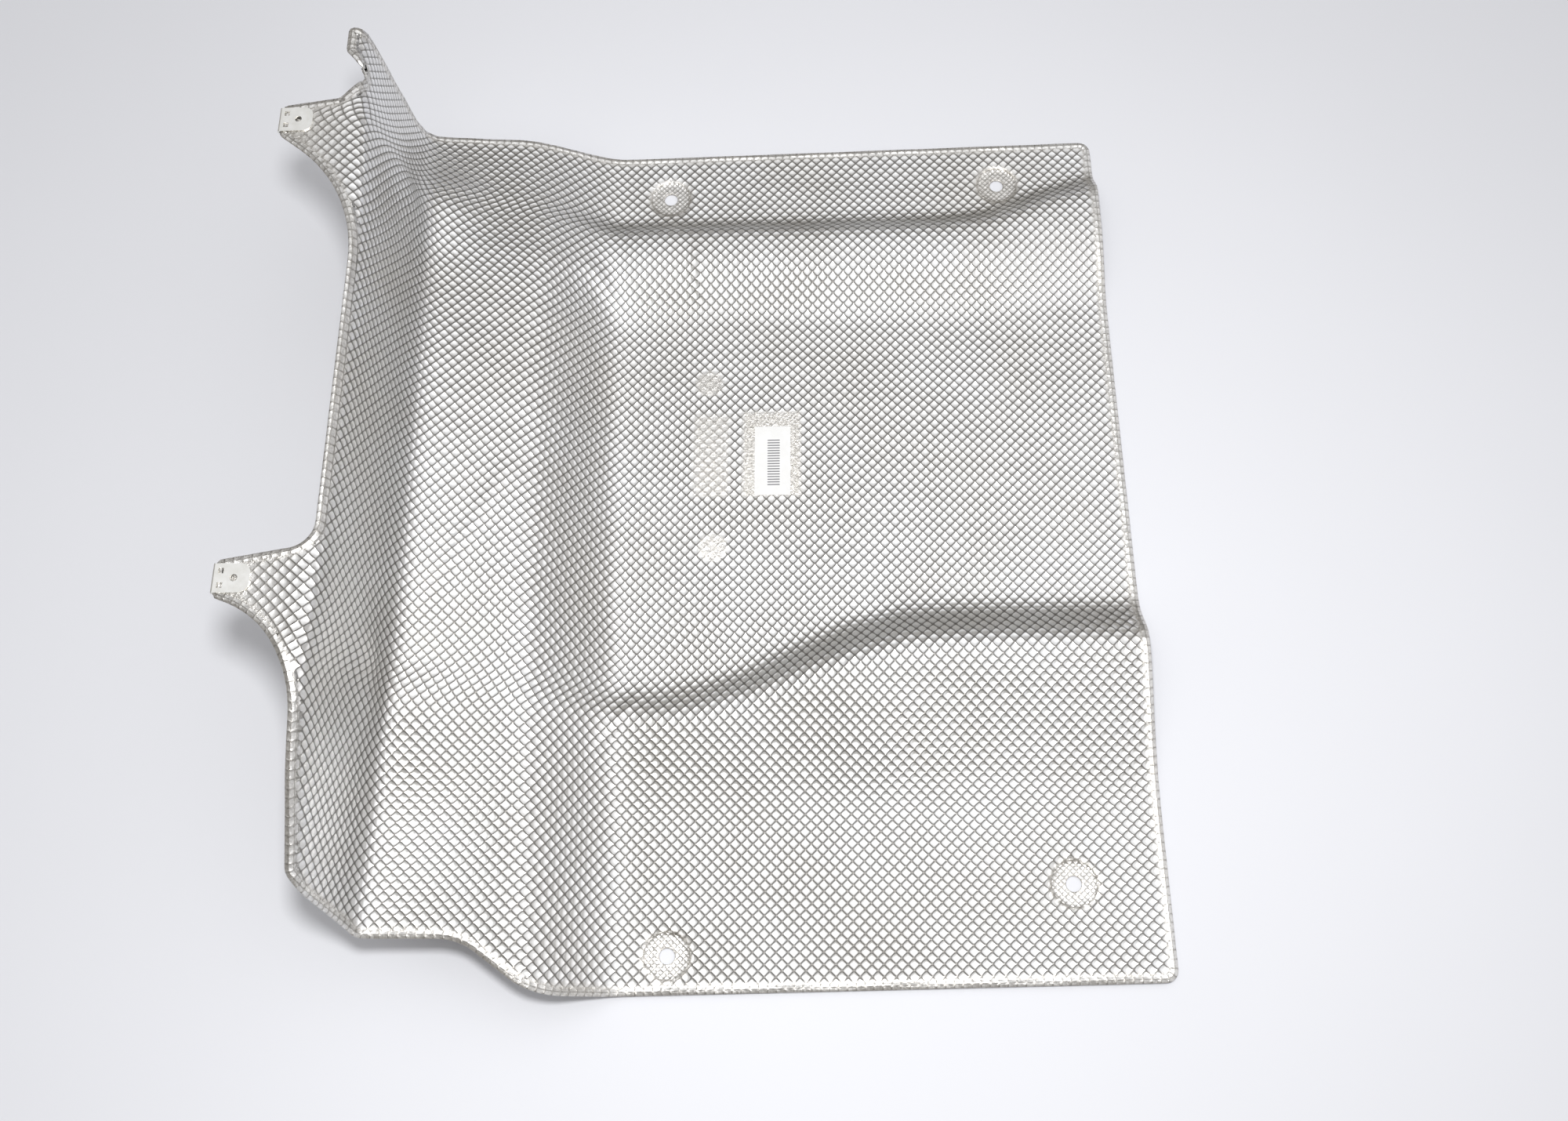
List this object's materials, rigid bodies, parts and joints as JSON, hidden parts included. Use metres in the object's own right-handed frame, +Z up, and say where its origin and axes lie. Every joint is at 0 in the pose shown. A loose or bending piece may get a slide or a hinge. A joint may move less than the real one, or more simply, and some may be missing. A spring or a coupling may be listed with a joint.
{
  "type": "heat shield",
  "caption": "Embossed sheet-metal heat shield with a flat panel, pressed ridges, dished stud holes and a raised side wing whose rim carries tabs with spring nuts.",
  "frame": {"origin": "centre of the part's box in plan, at the level of the stud discs' undersides, on which the part lies", "axes": "+X from the raised wing to the plain right edge, +Y from the front edge to the back edge, +Z up, square to the flat panel"},
  "size_m": [0.5374, 0.5906, 0.152],
  "materials": {
    "embossed_skin": "embossed, satin to bright",
    "nut_steel": "zinc plated, satin",
    "label_paper": "matt white paper"
  },
  "bodies": {
    "root": {"shield_panel": "embossed_skin", "clip_nut_rear": "nut_steel", "clip_nut_front": "nut_steel", "blank_label": "label_paper"}
  },
  "joints": []
}
